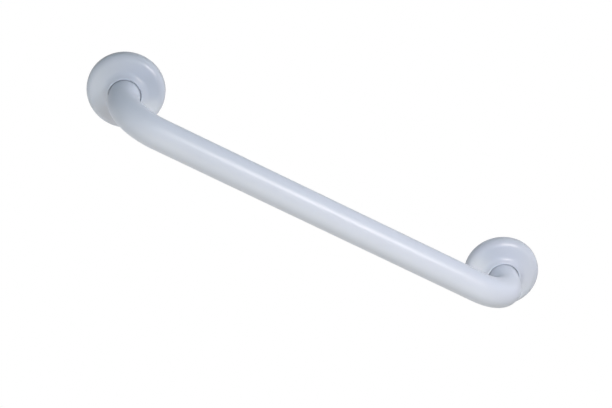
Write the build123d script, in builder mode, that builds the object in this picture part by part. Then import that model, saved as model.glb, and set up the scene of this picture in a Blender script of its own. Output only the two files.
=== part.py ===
from build123d import *
from math import cos, radians, tan
import os

os.makedirs("parts", exist_ok=True)

# A grab bar for a bathroom wall: a bent steel tube welded to two round wall plates, each hidden by a pressed
# cover that is captive on the tube's leg. Millimetres and degrees. The wall is the plane y = 0, the room is
# at -Y, the bar runs along X, and the origin lies on the wall midway between the two legs.

# Tube
centre_distance = 450  # from leg to leg
tube_diameter = 32
tube_wall = 1.5
hand_clearance = 60  # from the wall to the back of the bar
bend_radius = 42  # at the centre line
tube_recess = 1  # the cut end lies this far in from the back of the wall plate

# Wall plates
plate_thickness = 3
plate_lead_in = 0.6  # chamfer that helps the cover over the rim
screw_count = 3
screw_hole_diameter = 6
weld_leg = 3
weld_crown = 0.25  # how far the weld bulges past a flat fillet

# Covers, pressed from sheet
cover_diameter = 80
cover_sheet = 1
cover_shoulder_height = 12  # where the face and the skirt would meet in a sharp corner
cover_shoulder_radius = 9
cover_face_slope = 11  # from the plane of the wall
cover_valley_radius = 8.5  # between the face and the collar
cover_collar_slope = 50  # from the plane of the wall
cover_collar_rise = 4.6  # from the sharp corner of the valley to the top of the collar
cover_collar_land = 1.4  # from the collar's sharp corner in to the hole
cover_hole_break = 0.3  # chamfered edge round the tube
cover_hole_clearance = 0.6  # between the cover and the tube
cover_rim_clearance = 0.3  # between the skirt and the wall plate

# Sizes that follow
leg_x = centre_distance / 2
tube_radius = tube_diameter / 2
bar_axis = hand_clearance + tube_radius
cover_radius = cover_diameter / 2
cover_hole_radius = tube_radius + cover_hole_clearance
plate_radius = cover_radius - cover_sheet - cover_rim_clearance
weld_radius = tube_radius + weld_leg
screw_circle_radius = (weld_radius + plate_radius) / 2


def wall_plane(side):
    """The wall at one leg, seen from the room: X along the bar, Y up and Z out from the wall."""
    return Plane(origin=(side * leg_x, 0, 0), x_dir=(1, 0, 0), z_dir=(0, -1, 0))


def section_plane(side):
    """A cut through one leg: X is the distance from its axis and Y the height off the wall."""
    return Plane(origin=(side * leg_x, 0, 0), x_dir=(1, 0, 0), z_dir=(0, 0, -1))


def leg_axis(side):
    return Axis((side * leg_x, 0, 0), (0, -1, 0))


def make_wall_plate(side):
    outer_hole_angle = 0 if side > 0 else 180
    weld_top = plate_thickness + weld_leg
    weld_middle = weld_leg / 2 + weld_crown
    with BuildPart() as plate:
        with BuildSketch(wall_plane(side)):
            Circle(plate_radius)
            Circle(tube_radius, mode=Mode.SUBTRACT)
            with PolarLocations(screw_circle_radius, screw_count, start_angle=outer_hole_angle):
                Circle(screw_hole_diameter / 2, mode=Mode.SUBTRACT)
        extrude(amount=plate_thickness)
        rim = plate.edges().filter_by(GeomType.CIRCLE).group_by(SortBy.RADIUS)[-1]
        chamfer(rim.sort_by(Axis.Y)[0], plate_lead_in)
        with BuildSketch(section_plane(side)):
            with BuildLine():
                Polyline((weld_radius, plate_thickness), (tube_radius, plate_thickness), (tube_radius, weld_top))
                ThreePointArc(
                    (tube_radius, weld_top),
                    (tube_radius + weld_middle, plate_thickness + weld_middle),
                    (weld_radius, plate_thickness),
                )
            make_face()
        revolve(axis=leg_axis(side))
    return plate.part


def make_cover(side):
    # Sharp corners of the outside, from the collar out to the skirt
    collar_r = cover_hole_radius + cover_collar_land
    valley_r = collar_r + cover_collar_rise / tan(radians(cover_collar_slope))
    valley_h = cover_shoulder_height + (cover_radius - valley_r) * tan(radians(cover_face_slope))
    collar_h = valley_h + cover_collar_rise

    # The collar's round takes nearly all that the broken edge leaves of its land, and the shoulder takes no more
    # of the sloping face than the valley's round leaves
    collar_radius = 0.95 * (cover_collar_land - cover_hole_break) / tan(radians(cover_collar_slope / 2))
    face_length = (cover_radius - valley_r) / cos(radians(cover_face_slope))
    valley_length = cover_valley_radius * tan(radians((cover_collar_slope - cover_face_slope) / 2))
    shoulder_limit = (face_length - valley_length) / tan(radians((90 - cover_face_slope) / 2))

    with BuildPart() as cover:
        with BuildSketch(section_plane(side)) as sheet:
            with BuildLine():
                FilletPolyline(
                    (cover_hole_radius, collar_h),
                    (collar_r, collar_h),
                    (valley_r, valley_h),
                    (cover_radius, cover_shoulder_height),
                    (cover_radius, 0),
                    radius=[collar_radius, cover_valley_radius, min(cover_shoulder_radius, shoulder_limit)],
                )
                offset(amount=cover_sheet, side=Side.RIGHT)
            make_face()
            hole_corners = sheet.vertices().group_by(Axis.X)[0]
            chamfer(hole_corners.sort_by(Axis.Y)[-1], cover_hole_break)
        revolve(axis=leg_axis(side))
    return cover.part


# The tube is one sweep from wall to wall
with BuildPart() as grab_tube:
    with BuildLine() as centre_line:
        FilletPolyline(
            (-leg_x, -tube_recess),
            (-leg_x, -bar_axis),
            (leg_x, -bar_axis),
            (leg_x, -tube_recess),
            radius=bend_radius,
        )
    with BuildSketch(Plane(origin=centre_line.line @ 0, z_dir=centre_line.line % 0)):
        Circle(tube_radius)
        Circle(tube_radius - tube_wall, mode=Mode.SUBTRACT)
    sweep()

grab_tube.part.label = "grab_tube"
export_step(grab_tube.part, "parts/grab_tube.step")

for side, side_name in ((-1, "left"), (1, "right")):
    for piece_name, make_piece in (("wall_plate", make_wall_plate), ("cover", make_cover)):
        piece = make_piece(side)
        piece.label = f"{side_name}_{piece_name}"
        export_step(piece, f"parts/{piece.label}.step")
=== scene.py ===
import math

import bpy
from mathutils import Matrix, Vector


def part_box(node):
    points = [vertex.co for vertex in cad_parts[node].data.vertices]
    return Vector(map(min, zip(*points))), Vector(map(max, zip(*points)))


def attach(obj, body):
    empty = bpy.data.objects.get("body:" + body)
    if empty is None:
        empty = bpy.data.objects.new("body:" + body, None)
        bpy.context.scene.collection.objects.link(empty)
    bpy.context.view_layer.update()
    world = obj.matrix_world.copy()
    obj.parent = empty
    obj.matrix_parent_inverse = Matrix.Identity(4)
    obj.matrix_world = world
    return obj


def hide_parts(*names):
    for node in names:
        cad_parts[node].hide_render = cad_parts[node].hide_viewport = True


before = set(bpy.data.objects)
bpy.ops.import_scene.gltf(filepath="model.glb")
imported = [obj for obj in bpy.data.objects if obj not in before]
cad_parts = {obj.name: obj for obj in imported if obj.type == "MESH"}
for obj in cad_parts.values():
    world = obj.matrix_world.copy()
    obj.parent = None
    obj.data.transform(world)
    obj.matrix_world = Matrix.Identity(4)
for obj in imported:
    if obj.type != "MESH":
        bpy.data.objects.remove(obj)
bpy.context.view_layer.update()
scene = bpy.context.scene
sides = {"left": -1, "right": 1}
seamWidth = 1e-6  # points of a seam that lie closer than this become one


# Small helpers for node trees and for turning them into plain meshes

def addNode(tree, kind, inputs=None, **settings):
    node = tree.nodes.new(kind)
    for key, value in settings.items():
        setattr(node, key, value)
    for key, value in (inputs or {}).items():
        if isinstance(value, bpy.types.NodeSocket):
            tree.links.new(value, node.inputs[key])
        else:
            node.inputs[key].default_value = value
    return node


def math2(tree, operation, first, second=0.0):
    return addNode(tree, "ShaderNodeMath", {0: first, 1: second}, operation=operation).outputs[0]


def mixColours(tree, share, first, second):
    mix = addNode(tree, "ShaderNodeMix", {0: share}, data_type="RGBA")
    mix.inputs[6].default_value = first  # this node's colours are sockets 6 and 7
    mix.inputs[7].default_value = second
    return mix.outputs[2]


def newShapeTree(name, sizes):
    tree = bpy.data.node_groups.new(name, "GeometryNodeTree")
    tree.interface.new_socket("Geometry", in_out="OUTPUT", socket_type="NodeSocketGeometry")
    for label, kind in sizes.items():
        tree.interface.new_socket(label, in_out="INPUT", socket_type="NodeSocket" + kind)
    return tree, tree.nodes.new("NodeGroupInput").outputs


def endShapeTree(tree, shape, material):
    smooth = addNode(tree, "GeometryNodeSetShadeSmooth", {"Geometry": shape})
    real = addNode(tree, "GeometryNodeRealizeInstances", {"Geometry": smooth.outputs[0]})
    coated = addNode(tree, "GeometryNodeSetMaterial", {"Geometry": real.outputs[0], "Material": material})
    addNode(tree, "NodeGroupOutput", {"Geometry": coated.outputs[0]})


def pickByIndex(tree, kind, values):
    pick = addNode(tree, "GeometryNodeIndexSwitch", data_type=kind)
    while len(pick.index_switch_items) < len(values):
        pick.index_switch_items.new()
    index = addNode(tree, "GeometryNodeInputIndex")
    tree.links.new(index.outputs[0], pick.inputs[0])
    for place, value in enumerate(values, start=1):
        if isinstance(value, bpy.types.NodeSocket):
            tree.links.new(value, pick.inputs[place])
        else:
            pick.inputs[place].default_value = value
    return pick.outputs[0]


def vector(tree, x=0.0, y=0.0, z=0.0):
    return addNode(tree, "ShaderNodeCombineXYZ", {"X": x, "Y": y, "Z": z}).outputs[0]


def ring(tree, radius, steps):
    circle = {"Resolution": steps, "Radius": radius}
    return addNode(tree, "GeometryNodeCurvePrimitiveCircle", circle).outputs[0]


def joinShapes(tree, *shapes):
    joined = addNode(tree, "GeometryNodeJoinGeometry")
    for shape in shapes:
        tree.links.new(shape, joined.inputs[0])
    return joined.outputs[0]


def closeSeams(tree, shape):
    merge = addNode(tree, "GeometryNodeMergeByDistance", {"Geometry": shape, "Distance": seamWidth})
    return merge.outputs[0]


def lineThrough(tree, corners):
    line = addNode(tree, "GeometryNodeMeshLine", {"Count": len(corners)})
    placed = addNode(tree, "GeometryNodeSetPosition", {
        "Geometry": line.outputs[0], "Position": pickByIndex(tree, "VECTOR", corners)})
    return addNode(tree, "GeometryNodeMeshToCurve", {"Mesh": placed.outputs[0]}).outputs[0]


def growPiece(name, tree, sizes, finishes=(), extraMaterials=(), sharpAngle=35):
    piece = bpy.data.objects.new(name, bpy.data.meshes.new(name))
    scene.collection.objects.link(piece)
    shape = piece.modifiers.new("shape", "NODES")
    shape.node_group = tree
    for item in tree.interface.items_tree:
        if item.in_out == "INPUT":
            shape[item.identifier] = sizes[item.name]
    for kind, settings in finishes:
        finish = piece.modifiers.new(kind.lower(), kind)
        for key, value in settings.items():
            setattr(finish, key, value)
    graph = bpy.context.evaluated_depsgraph_get()
    plain = bpy.data.meshes.new_from_object(piece.evaluated_get(graph), depsgraph=graph)
    piece.modifiers.clear()
    piece.data = plain
    plain.name = name
    for material in extraMaterials:
        plain.materials.append(material)
    plain.set_sharp_from_angle(angle=math.radians(sharpAngle))
    print("grown:", name, len(plain.polygons), "faces")
    return piece


# Finishes

coatLook = {  # what the paint of all pieces shares
    "colour": (0.655, 0.695, 0.775),
    "thickerColour": (0.635, 0.675, 0.76),  # where the powder flowed a little thicker
    "driftSize": 0.05,  # metres across one soft patch of colour
    "driftDetail": 3.0,
    "roughnessDrift": 0.03,
    "peelSize": 0.0021,  # metres across one dimple of the orange peel
    "peelDetail": 2.0,
    "peelDepth": 0.00004,
    "grainSize": 0.0004,
    "grainDetail": 1.0,
    "grainDepth": 0.0000012,
}
barCoatLook = {**coatLook, "shade": 1.0, "roughness": 0.30, "shine": 0.5, "offset": (0.0, 0.0, 0.0)}
coverCoatLook = {  # the covers are a little darker than the bar and show crisper streaks
    **coatLook, "shade": 0.94, "roughness": 0.22, "shine": 0.6, "offset": (0.37, 0.11, 0.23),
}


def makeCoat(name, look):
    coat = bpy.data.materials.new(name)
    coat.use_nodes = True
    tree = coat.node_tree
    shader = tree.nodes["Principled BSDF"]
    shader.inputs["Specular IOR Level"].default_value = look["shine"]
    place = addNode(tree, "ShaderNodeTexCoord").outputs["Object"]
    shifted = addNode(tree, "ShaderNodeMapping", {"Vector": place, "Location": look["offset"]}).outputs[0]

    def noise(kind):
        settings = {"Vector": shifted, "Scale": 1 / look[kind + "Size"], "Detail": look[kind + "Detail"]}
        return addNode(tree, "ShaderNodeTexNoise", settings).outputs[0]

    def shaded(colour):
        return (*(look["shade"] * channel for channel in colour), 1.0)

    drift = noise("drift")
    colour = mixColours(tree, drift, shaded(look["colour"]), shaded(look["thickerColour"]))
    tree.links.new(colour, shader.inputs["Base Color"])

    low = look["roughness"] - look["roughnessDrift"]
    high = look["roughness"] + look["roughnessDrift"]
    rough = addNode(tree, "ShaderNodeMapRange", {"Value": drift, "To Min": low, "To Max": high})
    tree.links.new(rough.outputs[0], shader.inputs["Roughness"])

    grain = {"Height": noise("grain"), "Distance": look["grainDepth"]}
    grainBump = addNode(tree, "ShaderNodeBump", grain)
    peel = {"Height": noise("peel"), "Distance": look["peelDepth"]}
    peelBump = addNode(tree, "ShaderNodeBump", {**peel, "Normal": grainBump.outputs[0]})
    tree.links.new(peelBump.outputs[0], shader.inputs["Normal"])
    return coat


boreLook = {
    "steel": (0.22, 0.21, 0.20, 1.0),
    "scale": (0.10, 0.085, 0.075, 1.0),  # dark patches of mill scale
    "patchSize": 0.006,
    "patchDetail": 4.0,
    "metallic": 0.9,
    "roughness": 0.55,
}


def makeBoreSteel():
    steel = bpy.data.materials.new("bareTubeBore")
    steel.use_nodes = True
    tree = steel.node_tree
    shader = tree.nodes["Principled BSDF"]
    shader.inputs["Metallic"].default_value = boreLook["metallic"]
    shader.inputs["Roughness"].default_value = boreLook["roughness"]
    place = addNode(tree, "ShaderNodeTexCoord").outputs["Object"]
    patches = {"Vector": place, "Scale": 1 / boreLook["patchSize"], "Detail": boreLook["patchDetail"]}
    patch = addNode(tree, "ShaderNodeTexNoise", patches).outputs[0]
    colour = mixColours(tree, patch, boreLook["steel"], boreLook["scale"])
    tree.links.new(colour, shader.inputs["Base Color"])
    return steel


barCoat = makeCoat("barPowderCoat", barCoatLook)
coverCoat = makeCoat("coverPowderCoat", coverCoatLook)
boreSteel = makeBoreSteel()
print("finishes made")


# Tube: a bent centre line from wall to wall, with a round section along it

tubeLow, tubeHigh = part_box("grab_tube")
tubeRadius = (tubeHigh.z - tubeLow.z) / 2
legX = tubeHigh.x - tubeRadius
tubeLook = {
    "Leg X": legX,
    "Bar Y": tubeLow.y + tubeRadius,
    "End Y": tubeHigh.y,
    "Radius": tubeRadius,
    "Bend Radius": 0.042,
    "Wall": 0.0015,
    "Bend Steps": 64,
    "Round Steps": 128,
    "Coat": barCoat,
}


def tubeTree():
    tree, size = newShapeTree("bentTube", {
        "Leg X": "Float", "Bar Y": "Float", "End Y": "Float", "Radius": "Float", "Bend Radius": "Float",
        "Bend Steps": "Int", "Round Steps": "Int", "Coat": "Material",
    })
    leftX = math2(tree, "MULTIPLY", size["Leg X"], -1.0)
    corners = [(leftX, "End Y"), (leftX, "Bar Y"), (size["Leg X"], "Bar Y"), (size["Leg X"], "End Y")]
    centreLine = lineThrough(tree, [vector(tree, x, size[y]) for x, y in corners])
    bent = addNode(tree, "GeometryNodeFilletCurve", {
        "Curve": centreLine, "Count": size["Bend Steps"], "Radius": size["Bend Radius"]}, mode="POLY")
    skin = addNode(tree, "GeometryNodeCurveToMesh", {
        "Curve": bent.outputs[0], "Profile Curve": ring(tree, size["Radius"], size["Round Steps"])})
    endShapeTree(tree, skin.outputs[0], size["Coat"])
    return tree


tubeFinish = ("SOLIDIFY", {"thickness": tubeLook["Wall"], "offset": -1.0, "material_offset": 1})
tube = growPiece("grabTube", tubeTree(), tubeLook, [tubeFinish], [boreSteel])
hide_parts("grab_tube")
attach(tube, "bar")


# A grid wrapped round one leg: every row is a point of the section, every column an angle

def legGrid(tree, rows, roundSteps):
    columns = math2(tree, "ADD", roundSteps, 1.0)
    grid = addNode(tree, "GeometryNodeMeshGrid", {"Vertices X": rows, "Vertices Y": columns}).outputs[0]
    index = addNode(tree, "GeometryNodeInputIndex").outputs[0]
    row = math2(tree, "FLOOR", math2(tree, "DIVIDE", math2(tree, "ADD", index, 0.5), columns))
    column = math2(tree, "SUBTRACT", index, math2(tree, "MULTIPLY", row, columns))
    return grid, row, math2(tree, "MULTIPLY", math2(tree, "DIVIDE", column, roundSteps), 2 * math.pi)


def wrapRoundLeg(tree, grid, radius, height, angle, centreX):
    x = math2(tree, "ADD", centreX, math2(tree, "MULTIPLY", radius, math2(tree, "COSINE", angle)))
    z = math2(tree, "MULTIPLY", radius, math2(tree, "SINE", angle))
    place = vector(tree, x, math2(tree, "MULTIPLY", height, -1.0), z)
    wrapped = addNode(tree, "GeometryNodeSetPosition", {"Geometry": grid, "Position": place})
    return closeSeams(tree, wrapped.outputs[0])


def turnAboutLeg(tree, section, roundSteps, centreX):
    count = addNode(tree, "GeometryNodeAttributeDomainSize", {"Geometry": section}, component="CURVE")
    grid, row, angle = legGrid(tree, count.outputs[0], roundSteps)
    where = addNode(tree, "GeometryNodeInputPosition").outputs[0]
    onSection = addNode(tree, "GeometryNodeSampleIndex", data_type="FLOAT_VECTOR", domain="POINT")
    tree.links.new(section, onSection.inputs["Geometry"])
    tree.links.new(where, onSection.inputs["Value"])
    tree.links.new(row, onSection.inputs["Index"])
    out = addNode(tree, "ShaderNodeSeparateXYZ", {0: onSection.outputs[0]}).outputs
    return wrapRoundLeg(tree, grid, out[0], out[1], angle, centreX)


# Covers: the outside of the pressed sheet is a section with rounded corners, turned about the leg

coverLook = {
    "Hole Gap": 0.0006,  # between the tube and the cover, all round
    "Collar Land": 0.0014,  # from the hole out to the collar's sharp corner
    "Collar Rise": 0.0046,
    "Collar Slope": 50.0,  # slopes are degrees from the wall
    "Face Slope": 11.0,
    "Shoulder Height": 0.012,
    "Collar Round": 0.00224,
    "Valley Round": 0.0085,
    "Shoulder Round": 0.009,
    "Sheet": 0.001,
    "Edge Round": 0.00025,
    "Edge Angle": 50.0,  # only edges sharper than this are rounded
    "Edge Steps": 3,
    "Arc Steps": 24,
    "Round Steps": 240,
    "Coat": coverCoat,
}
coverRounds = ["Collar Round", "Valley Round", "Shoulder Round"]


def coverCorners(radius):
    collarSlope = math.tan(math.radians(coverLook["Collar Slope"]))
    faceSlope = math.tan(math.radians(coverLook["Face Slope"]))
    holeR = tubeRadius + coverLook["Hole Gap"]
    collarR = holeR + coverLook["Collar Land"]
    valleyR = collarR + coverLook["Collar Rise"] / collarSlope
    shoulderH = coverLook["Shoulder Height"]
    valleyH = shoulderH + (radius - valleyR) * faceSlope
    collarH = valleyH + coverLook["Collar Rise"]
    return {
        "Hole Edge": (holeR, collarH, 0.0),
        "Collar Corner": (collarR, collarH, 0.0),
        "Valley Corner": (valleyR, valleyH, 0.0),
        "Shoulder Corner": (radius, shoulderH, 0.0),
        "Skirt Edge": (radius, 0.0, 0.0),
    }


def coverTree():
    corners = ["Hole Edge", "Collar Corner", "Valley Corner", "Shoulder Corner", "Skirt Edge"]
    tree, size = newShapeTree("pressedCover", {
        "Centre X": "Float", **{corner: "Vector" for corner in corners},
        **{name: "Float" for name in coverRounds},
        "Arc Steps": "Int", "Round Steps": "Int", "Coat": "Material",
    })
    sharp = lineThrough(tree, [size[corner] for corner in corners])
    rounds = pickByIndex(tree, "FLOAT", [0.0, *(size[name] for name in coverRounds), 0.0])
    section = addNode(tree, "GeometryNodeFilletCurve", {
        "Curve": sharp, "Count": size["Arc Steps"], "Radius": rounds}, mode="POLY")
    turned = turnAboutLeg(tree, section.outputs[0], size["Round Steps"], size["Centre X"])
    endShapeTree(tree, turned, size["Coat"])
    return tree


pressedCover = coverTree()
coverFinish = [
    ("SOLIDIFY", {"thickness": coverLook["Sheet"], "offset": -1.0}),
    ("BEVEL", {"width": coverLook["Edge Round"], "segments": coverLook["Edge Steps"],
               "limit_method": "ANGLE", "angle_limit": math.radians(coverLook["Edge Angle"])}),
]
for side, sign in sides.items():
    coverLow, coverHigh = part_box(side + "_cover")
    corners = coverCorners((coverHigh.z - coverLow.z) / 2)
    sizes = {**coverLook, **corners, "Centre X": sign * legX}
    cover = growPiece(side + "Cover", pressedCover, sizes, coverFinish)
    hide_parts(side + "_cover")
    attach(cover, side + "_cover")


# Wall plates: a disc with screw holes, and the weld that runs round the leg, all one closed skin

plateLook = {
    "Thickness": 0.003,
    "Lead In": 0.0006,  # slanted front edge that helps the cover on
    "Screw Holes": 3,
    "Screw Hole Radius": 0.003,
    "Weld Crown": 0.00025,  # how far the bead bulges, outwards and up
    "Ripples": 58.0,
    "Ripple Depth": 0.00012,
    "Ripple Lean": 1.6,  # radians that a ripple trails behind at the bead's edges
    "Round Steps": 160,
    "Bead Steps": 14,
    "Weld Steps": 580,
    "Coat": barCoat,
}


def plateFaces(tree, size, frontRadius):
    steps, thickness = size["Round Steps"], size["Thickness"]
    spots = addNode(tree, "GeometryNodeMeshCircle", {
        "Vertices": size["Screw Holes"], "Radius": size["Screw Circle"]})
    holeSpots = addNode(tree, "GeometryNodeTransform", {
        "Geometry": spots.outputs[0], "Rotation": vector(tree, z=size["First Hole Turn"])}).outputs[0]

    def atHoles(shape):
        copies = addNode(tree, "GeometryNodeInstanceOnPoints", {"Points": holeSpots, "Instance": shape})
        return addNode(tree, "GeometryNodeRealizeInstances", {"Geometry": copies.outputs[0]}).outputs[0]

    def lift(shape, height):
        up = vector(tree, z=height)
        return addNode(tree, "GeometryNodeTransform", {"Geometry": shape, "Translation": up}).outputs[0]

    def turnOver(shape):
        return addNode(tree, "GeometryNodeFlipFaces", {"Mesh": shape}).outputs[0]

    holeRings = atHoles(ring(tree, size["Screw Hole Radius"], steps))

    def face(outerRadius, innerRadius):
        outer, inner = ring(tree, outerRadius, steps), ring(tree, innerRadius, size["Weld Steps"])
        outline = joinShapes(tree, outer, holeRings, inner)
        return addNode(tree, "GeometryNodeFillCurve", {"Curve": outline}, mode="TRIANGLES").outputs[0]

    holeWall = addNode(tree, "GeometryNodeMeshCylinder", {
        "Vertices": steps, "Radius": size["Screw Hole Radius"], "Depth": thickness}, fill_type="NONE")
    holeWalls = atHoles(lift(holeWall.outputs[0], math2(tree, "MULTIPLY", thickness, 0.5)))
    front = lift(face(frontRadius, math2(tree, "ADD", size["Bore Radius"], size["Weld Leg"])), thickness)
    back = face(size["Plate Radius"], size["Bore Radius"])
    flat = joinShapes(tree, front, turnOver(back), turnOver(holeWalls))
    return addNode(tree, "GeometryNodeTransform", {
        "Geometry": flat, "Translation": vector(tree, size["Centre X"]),
        "Rotation": (math.pi / 2, 0.0, 0.0)}).outputs[0]


def plateRim(tree, size, frontRadius):
    slantBase = math2(tree, "SUBTRACT", size["Thickness"], size["Lead In"])
    edge = lineThrough(tree, [
        vector(tree, frontRadius, size["Thickness"]),
        vector(tree, size["Plate Radius"], slantBase),
        vector(tree, size["Plate Radius"])])
    return turnAboutLeg(tree, edge, size["Round Steps"], size["Centre X"])


def boreAndWeld(tree, size):
    rows = math2(tree, "ADD", size["Bead Steps"], 2.0)  # the first row is the bore's edge at the wall
    grid, row, angle = legGrid(tree, rows, size["Weld Steps"])
    beadRow = math2(tree, "MAXIMUM", math2(tree, "SUBTRACT", row, 1.0), 0.0)
    down = math2(tree, "DIVIDE", beadRow, size["Bead Steps"])  # 0 at the tube, 1 at the plate
    fromCrown = math2(tree, "SUBTRACT", math2(tree, "MULTIPLY", down, 2.0), 1.0)
    towardsEdge = math2(tree, "MULTIPLY", fromCrown, fromCrown)
    phase = math2(tree, "ADD", math2(tree, "MULTIPLY", angle, size["Ripples"]),
                  math2(tree, "MULTIPLY", towardsEdge, size["Ripple Lean"]))
    ripple = math2(tree, "MULTIPLY", math2(tree, "COSINE", phase), size["Ripple Depth"])
    swell = math2(tree, "MULTIPLY", math2(tree, "ADD", size["Weld Crown"], ripple),
                  math2(tree, "SUBTRACT", 1.0, towardsEdge))
    across = math2(tree, "MULTIPLY", size["Weld Leg"], down)
    radius = math2(tree, "ADD", math2(tree, "ADD", size["Bore Radius"], across), swell)
    weldTop = math2(tree, "ADD", size["Thickness"], size["Weld Leg"])
    beadHeight = math2(tree, "ADD", math2(tree, "SUBTRACT", weldTop, across), swell)
    height = math2(tree, "MULTIPLY", beadHeight, math2(tree, "GREATER_THAN", row, 0.5))
    return wrapRoundLeg(tree, grid, radius, height, angle, size["Centre X"])


def plateTree():
    tree, size = newShapeTree("wallPlate", {
        "Centre X": "Float", "Plate Radius": "Float", "Bore Radius": "Float", "Weld Leg": "Float",
        "Screw Circle": "Float", "First Hole Turn": "Float", "Thickness": "Float", "Lead In": "Float",
        "Screw Holes": "Int", "Screw Hole Radius": "Float", "Round Steps": "Int", "Weld Crown": "Float",
        "Ripples": "Float", "Ripple Depth": "Float", "Ripple Lean": "Float", "Bead Steps": "Int",
        "Weld Steps": "Int", "Coat": "Material",
    })
    frontRadius = math2(tree, "SUBTRACT", size["Plate Radius"], size["Lead In"])
    parts = plateFaces(tree, size, frontRadius), plateRim(tree, size, frontRadius), boreAndWeld(tree, size)
    endShapeTree(tree, closeSeams(tree, joinShapes(tree, *parts)), size["Coat"])
    return tree


wallPlate = plateTree()
for side, sign in sides.items():
    plateLow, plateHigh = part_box(side + "_wall_plate")
    plateRadius = (plateHigh.z - plateLow.z) / 2
    weldLeg = (plateHigh.y - plateLow.y) - plateLook["Thickness"]
    sizes = {
        **plateLook,
        "Centre X": sign * legX,
        "Plate Radius": plateRadius,
        "Bore Radius": tubeRadius,
        "Weld Leg": weldLeg,
        "Screw Circle": (tubeRadius + weldLeg + plateRadius) / 2,
        "First Hole Turn": 0.0 if sign > 0 else math.pi,
    }
    plate = growPiece(side + "WallPlate", wallPlate, sizes)
    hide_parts(side + "_wall_plate")
    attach(plate, "bar")
print("pieces ride on their bodies")


# Floor, far enough below that the bar's shadow stays out of the photo's frame

floorLook = {
    "height": -0.9,
    "reach": 8.0,
    "colour": (0.86, 0.87, 0.88, 1.0),
    "roughness": 0.9,
    "shadowReach": (0.3, 0.72),  # metres from the middle, over which the white takes over from the shadow
    "whiteAtMiddle": 0.78,
    "glossyShare": 0.4,  # how much of the white the gloss of the paint shows
}


def seesWhite(tree, glossyShare):
    path = addNode(tree, "ShaderNodeLightPath").outputs
    direct = math2(tree, "MAXIMUM", path["Is Camera Ray"], path["Is Transmission Ray"])
    return math2(tree, "MAXIMUM", direct, math2(tree, "MULTIPLY", path["Is Glossy Ray"], glossyShare))


def makeFloor():
    reach, height = floorLook["reach"], floorLook["height"]
    mesh = bpy.data.meshes.new("floor")
    mesh.from_pydata([(-reach, -reach, height), (reach, -reach, height), (reach, reach, height),
                      (-reach, reach, height)], [], [(0, 1, 2, 3)])
    floor = bpy.data.objects.new("floor", mesh)
    scene.collection.objects.link(floor)
    paper = bpy.data.materials.new("floorPaper")
    paper.use_nodes = True
    tree = paper.node_tree
    shader = tree.nodes["Principled BSDF"]
    shader.inputs["Base Color"].default_value = floorLook["colour"]
    shader.inputs["Roughness"].default_value = floorLook["roughness"]
    place = addNode(tree, "ShaderNodeTexCoord").outputs["Object"]
    flatPlace = addNode(tree, "ShaderNodeVectorMath", {0: place, 1: (1.0, 1.0, 0.0)}, operation="MULTIPLY")
    away = addNode(tree, "ShaderNodeVectorMath", {0: flatPlace.outputs[0]}, operation="LENGTH")
    near, far = floorLook["shadowReach"]
    whiter = addNode(tree, "ShaderNodeMapRange", {
        "Value": away.outputs["Value"], "From Min": near, "From Max": far,
        "To Min": floorLook["whiteAtMiddle"], "To Max": 1.0})
    share = math2(tree, "MULTIPLY", seesWhite(tree, floorLook["glossyShare"]), whiter.outputs[0])
    white = addNode(tree, "ShaderNodeEmission", {"Color": (1, 1, 1, 1), "Strength": 1.0})
    mixed = addNode(tree, "ShaderNodeMixShader", {0: share, 1: shader.outputs[0], 2: white.outputs[0]})
    tree.links.new(mixed.outputs[0], tree.nodes["Material Output"].inputs[0])
    mesh.materials.append(paper)


makeFloor()


# Light: a white room for the camera, one soft box above the right leg, and broad fills that leave no shine

worldLook = {"colour": (0.9, 0.98, 1.1, 1.0), "strength": 0.02, "glossyShare": 0.4}


def makeWorld():
    world = bpy.data.worlds.new("softRoom")
    scene.world = world
    world.use_nodes = True
    tree = world.node_tree
    tree.nodes.clear()
    share = seesWhite(tree, worldLook["glossyShare"])
    soft = addNode(tree, "ShaderNodeBackground", {0: worldLook["colour"], 1: worldLook["strength"]})
    white = addNode(tree, "ShaderNodeBackground", {0: (1, 1, 1, 1), 1: 1.0})
    mixed = addNode(tree, "ShaderNodeMixShader", {0: share, 1: soft.outputs[0], 2: white.outputs[0]})
    addNode(tree, "ShaderNodeOutputWorld", {0: mixed.outputs[0]})


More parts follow.
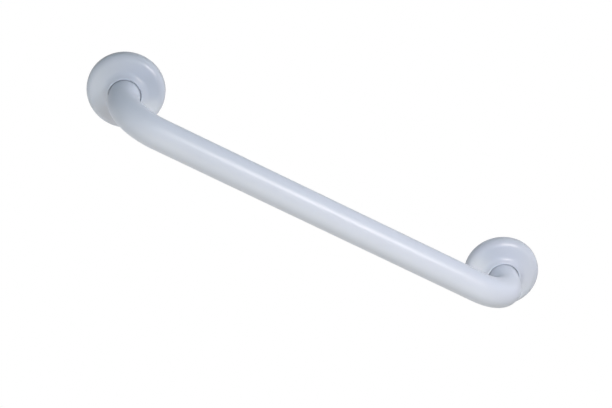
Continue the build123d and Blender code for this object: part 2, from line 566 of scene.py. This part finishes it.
middle = (0.0, -0.05, 0.0)
lampLook = {
    "softBox": {"aim": (0.195, -0.05, 0.0), "azimuth": 0, "elevation": 55, "distance": 0.776,
                "size": (0.48, 0.28), "watts": 3.05, "tint": (1.09, 0.96, 0.95), "shine": True},
    "frontTop": {"aim": middle, "azimuth": 0, "elevation": 45, "distance": 1.8,
                 "size": (1.2, 1.2), "watts": 13.5, "tint": (0.84, 1.03, 1.14), "shine": False},
    "lowFront": {"aim": middle, "azimuth": 0, "elevation": -24, "distance": 1.6,
                 "size": (1.4, 0.4), "watts": 4.0, "tint": (1.33, 1.10, 0.57), "shine": False},
    "lowLeft": {"aim": middle, "azimuth": -60, "elevation": -24, "distance": 1.6,
                "size": (1.0, 0.4), "watts": 4.5, "tint": (0.92, 0.95, 1.13), "shine": False},
    "nearLeft": {"aim": (-0.25, -0.05, 0.0), "azimuth": -95, "elevation": -15, "distance": 0.5,
                 "size": (0.25, 0.25), "watts": 0.32, "tint": (1.0, 1.06, 0.94), "shine": False},
    "lowRight": {"aim": middle, "azimuth": 40, "elevation": -11, "distance": 1.6,
                 "size": (1.0, 0.5), "watts": 3.8, "tint": (0.99, 0.96, 1.06), "shine": False},
    "backTop": {"aim": middle, "azimuth": 180, "elevation": 60, "distance": 1.8,
                "size": (1.4, 1.0), "watts": 3.9, "tint": (0.89, 1.06, 1.05), "shine": False},
    "backRight": {"aim": middle, "azimuth": 120, "elevation": 25, "distance": 1.8,
                  "size": (1.0, 1.0), "watts": 10.9, "tint": (1.01, 0.99, 1.0), "shine": False},
    "back": {"aim": middle, "azimuth": 180, "elevation": -4, "distance": 1.8,
             "size": (1.4, 0.6), "watts": 12.0, "tint": (1.0, 1.0, 1.0), "shine": False},
}


def outwards(azimuth, elevation):
    turn, rise = math.radians(azimuth), math.radians(elevation)
    return Vector((math.sin(turn) * math.cos(rise), -math.cos(turn) * math.cos(rise), math.sin(rise)))


def makeLamp(name, look):
    light = bpy.data.lights.new(name, "AREA")
    light.shape = "RECTANGLE"
    light.size, light.size_y = look["size"]
    light.energy = look["watts"]
    light.color = look["tint"]
    lamp = bpy.data.objects.new(name, light)
    scene.collection.objects.link(lamp)
    away = outwards(look["azimuth"], look["elevation"])
    lamp.location = Vector(look["aim"]) + look["distance"] * away
    lamp.rotation_euler = (-away).to_track_quat("-Z", "Y").to_euler()
    lamp.visible_glossy = look["shine"]
    lamp.visible_camera = False


makeWorld()
for lampName, look in lampLook.items():
    makeLamp(lampName, look)
print("lit")


# Camera: the photo's own view, rolled so that the bar slopes down to the right

cameraLook = {
    "lens": 84.309,
    "aim": (-0.00082, 0.0, -0.02890),
    "distance": 1.5240,
    "azimuth": -13.674,
    "elevation": 20.705,
    "roll": -30.483,
}


def makeCamera():
    roll = math.radians(cameraLook["roll"])
    back = outwards(cameraLook["azimuth"], cameraLook["elevation"])
    across = (-back).cross(Vector((0, 0, 1))).normalized()
    level = across.cross(-back)
    up = math.cos(roll) * level + math.sin(roll) * across
    right = (-back).cross(up)
    data = bpy.data.cameras.new("photoView")
    data.lens = cameraLook["lens"]
    camera = bpy.data.objects.new("photoView", data)
    scene.collection.objects.link(camera)
    place = Matrix((right, up, back)).transposed().to_4x4()
    place.translation = Vector(cameraLook["aim"]) + cameraLook["distance"] * back
    camera.matrix_world = place
    scene.camera = camera


makeCamera()
scene.view_settings.view_transform = "Standard"
print("camera set")
